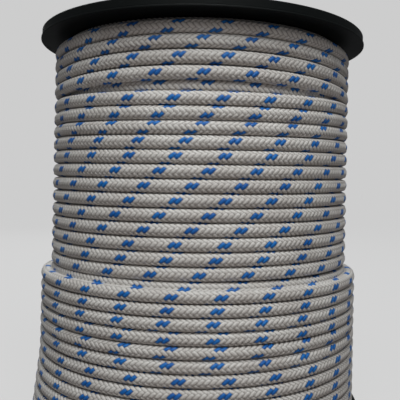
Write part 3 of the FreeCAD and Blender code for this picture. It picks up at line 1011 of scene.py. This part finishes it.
@dataclass
class RopeEnd:
    """The melted cap on the rope's outer end, and the tape that holds the end down."""

    path: Array
    ropes: list[Piece]
    cap_radius: float = 4.75 * MM
    cap_length: float = 2.6 * MM
    tape_angle: float = math.radians(76.5)
    tape_wide: float = 25.0 * MM
    tape_low: float = 98.0 * MM
    tape_high: float = 149.0 * MM
    tape_thick: float = 0.4 * MM
    tape_clear: float = 0.7 * MM  # of the rope, before it is smoothed
    tape_start: float = 150.0 * MM  # from the axis, before it is laid on the rope

    def build(self) -> list[Piece]:
        """Makes both pieces and returns them."""
        return [self.cap(), self.tape()]

    def cap(self) -> Piece:
        """A flat round bead of melted yarn, square to the rope's end."""
        end = Vector(self.path[-1])
        ahead = (end - Vector(self.path[-3])).normalized()
        turn = ahead.to_track_quat("Z", "Y").to_euler()
        cap = Bench.start("uv_sphere", "melted_cap", segments=48, ring_count=24, radius=self.cap_radius,
                          location=end + ahead * self.cap_length / 2, rotation=turn)
        bpy.ops.object.mode_set(mode="EDIT")
        for side in (-1, 1):
            bpy.ops.mesh.select_all(action="SELECT")
            bpy.ops.mesh.bisect(plane_co=end + ahead * self.cap_length * (0.5 + 0.5 * side),
                                plane_no=ahead * side, clear_outer=True, use_fill=True)
        bpy.ops.object.mode_set(mode="OBJECT")
        Bench.bevel(cap, 0.6 * MM, 3, 40.0)
        lumps = bpy.data.textures.new("lumps", "CLOUDS")
        lumps.noise_scale = 2.2 * MM
        Bench.modify(cap, "DISPLACE", texture=lumps, strength=0.5 * MM, mid_level=0.8)
        bpy.data.textures.remove(lumps)
        Bench.smooth(cap, 60.0)
        return Bench.finish(cap, MELTED_END.material(), "melted_end", "outer_end_seal")

    def tape(self) -> Piece:
        """A strip laid against the turns: pressed onto their crests, and slack across the valleys."""
        outward = Vector((math.cos(self.tape_angle), math.sin(self.tape_angle), 0.0))
        high = self.tape_high - self.tape_low
        start = outward * self.tape_start + Vector((0.0, 0.0, (self.tape_low + self.tape_high) / 2))
        tape = Bench.start("grid", "crepe_tape_strip", x_subdivisions=40, y_subdivisions=80, size=1.0,
                           location=start, rotation=(math.pi / 2, 0.0, self.tape_angle + math.pi / 2))
        bpy.ops.object.mode_set(mode="EDIT")
        bpy.ops.mesh.select_all(action="SELECT")
        bpy.ops.transform.resize(value=(1.0, 1.0, high), center_override=start)
        bpy.ops.transform.resize(value=(self.tape_wide, self.tape_wide, 1.0), center_override=start)
        bpy.ops.object.mode_set(mode="OBJECT")
        under = self.under()
        Bench.modify(tape, "SHRINKWRAP", target=under, wrap_method="PROJECT", use_negative_direction=True,
                     use_positive_direction=True, wrap_mode="ABOVE_SURFACE", offset=self.tape_clear)
        bpy.data.objects.remove(under)
        Bench.modify(tape, "SMOOTH", factor=0.5, iterations=4)
        Bench.modify(tape, "SOLIDIFY", thickness=self.tape_thick, offset=0.0)
        Bench.smooth(tape, 50.0)
        return Bench.finish(tape, TAPE.material(), "tape", "end_tape")

    def under(self) -> Piece:
        """A joined copy of the rope that the tape is laid against."""
        bpy.ops.object.select_all(action="DESELECT")
        for rope in self.ropes:
            double = Bench.copy(rope, rope.name + "_under", Matrix.Identity(4))
            double.select_set(True)
            bpy.context.view_layer.objects.active = double
        bpy.ops.object.join()
        return bpy.context.object


# ---- spool


@dataclass
class Spool:
    """The frame's own nodes that show: flanges, core and bushes."""

    def dress(self) -> None:
        """Gives each node its finish."""
        for finish, names in (
            (BLACK_MOULDING, ("upper_flange", "lower_flange")),
            (GREY_MOULDING, ("upper_bush", "lower_bush")),
            (CORE_BOARD, ("core_tube",)),
        ):
            material = finish.material()
            for name in names:
                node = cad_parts[name]
                node.data.materials.clear()
                node.data.materials.append(material)
            log.info("%s on %s", finish.name, ", ".join(names))


# ---- studio


LAMPS = {
    "key": ((0.04, -0.78, 1.35), 0.8, 20.0, (0.97, 1.0, 1.0)),
    "glow": ((0.1, -1.2, -0.5), 1.0, 2.2, (1.0, 0.86, 0.78)),
    "back": ((-0.3, 1.3, 0.9), 1.0, 8.0, (0.97, 1.0, 1.0)),
}  # each light's place, size, watts and colour


@dataclass
class Studio:
    """Floor, walls, light and camera."""

    floor_radius: float = 2.2
    wall_height: float = 3.0
    wall_sides: int = 96
    cove: float = 0.9
    cove_steps: int = 12
    lit_height: float = 0.18  # of the point on the spool's axis that the lights face
    sky_colour: Triple = (0.95, 0.97, 1.0)
    sky_strength: float = 0.14
    eye: Triple = (0.0, -0.517, 0.1944)
    lens: float = 52.43
    yaw: float = 0.0127
    roll: float = -0.0202
    shift: tuple[float, float] = (-0.01925, -0.0505)

    def build(self) -> None:
        """Makes the room, the lights and the camera."""
        self.room()
        self.lights()
        self.camera()

    def room(self) -> None:
        """A round pale room: a floor whose edge curves up into the wall."""
        profile = [(0.0, 0.0), (self.floor_radius, 0.0)]
        for step in range(1, self.cove_steps + 1):
            angle = math.pi / 2 * step / self.cove_steps
            outwards = self.cove * math.sin(angle)
            profile.append((self.floor_radius + outwards, self.cove * (1 - math.cos(angle))))
        profile.append((self.floor_radius + self.cove, self.wall_height))
        mesh = bpy.data.meshes.new("room")
        sides = self.wall_sides
        points = [
            (r * math.cos(2 * math.pi * s / sides), r * math.sin(2 * math.pi * s / sides), z)
            for r, z in profile
            for s in range(sides)
        ]
        faces = [
            ((ring + 1) * sides + s, (ring + 1) * sides + (s + 1) % sides,
             ring * sides + (s + 1) % sides, ring * sides + s)
            for ring in range(len(profile) - 1)
            for s in range(sides)
        ]
        mesh.from_pydata(points, [], faces)
        mesh.polygons.foreach_set("use_smooth", [True] * len(faces))
        room = bpy.data.objects.new("room", mesh)
        bpy.context.scene.collection.objects.link(room)
        room.data.materials.append(STUDIO_PAINT.material())
        room.visible_diffuse = False
        room.visible_glossy = False
        room.visible_shadow = False

    def lights(self) -> None:
        """A large soft key above, a warm glow from low in front, a weaker light behind, and an even sky."""
        for name, settings in LAMPS.items():
            self.hang(name, *settings)
        world = bpy.data.worlds.new("sky")
        bpy.context.scene.world = world
        world.use_nodes = True
        sky = world.node_tree.nodes["Background"]
        sky.inputs["Color"].default_value = (*self.sky_colour, 1.0)
        sky.inputs["Strength"].default_value = self.sky_strength

    def hang(self, name: str, place: Triple, size: float, watts: float, colour: Triple) -> None:
        """Puts up a square soft light that faces the spool's middle."""
        light = bpy.data.lights.new(name, "AREA")
        light.size = size
        light.energy = watts
        light.color = colour
        holder = bpy.data.objects.new(name, light)
        bpy.context.scene.collection.objects.link(holder)
        holder.location = place
        facing = Vector((0.0, 0.0, self.lit_height)) - Vector(place)
        holder.rotation_euler = facing.to_track_quat("-Z", "Y").to_euler()

    def camera(self) -> None:
        """The camera: level, close to the spool, turned and rolled by about a degree."""
        lens = bpy.data.cameras.new("camera")
        lens.lens = self.lens
        lens.shift_x, lens.shift_y = self.shift
        lens.clip_start = 0.01
        camera = bpy.data.objects.new("camera", lens)
        bpy.context.scene.collection.objects.link(camera)
        camera.location = self.eye
        camera.rotation_mode = "XYZ"
        camera.rotation_euler = (math.pi / 2, self.roll, -self.yaw)
        bpy.context.scene.camera = camera
        bpy.context.scene.view_settings.view_transform = "Standard"


def main() -> None:
    """Builds the rope, the spool's finishes and the studio."""
    plan = RopePlan(Winding())
    maker = RopeMaker(plan.winding, cream=CREAM_YARN.material(), blue=BLUE_YARN.material())
    for stretch in plan.stretches():
        maker.make(stretch)
    ropes = [piece for piece, _ in maker.laid if piece.name in plan.taped]
    end_pieces = RopeEnd(maker.laid[-1][1], ropes).build()
    TieHardware(steel=ZINC_STEEL.material()).build()
    Spool().dress()
    Studio().build()


if __name__ == "__main__":
    main()
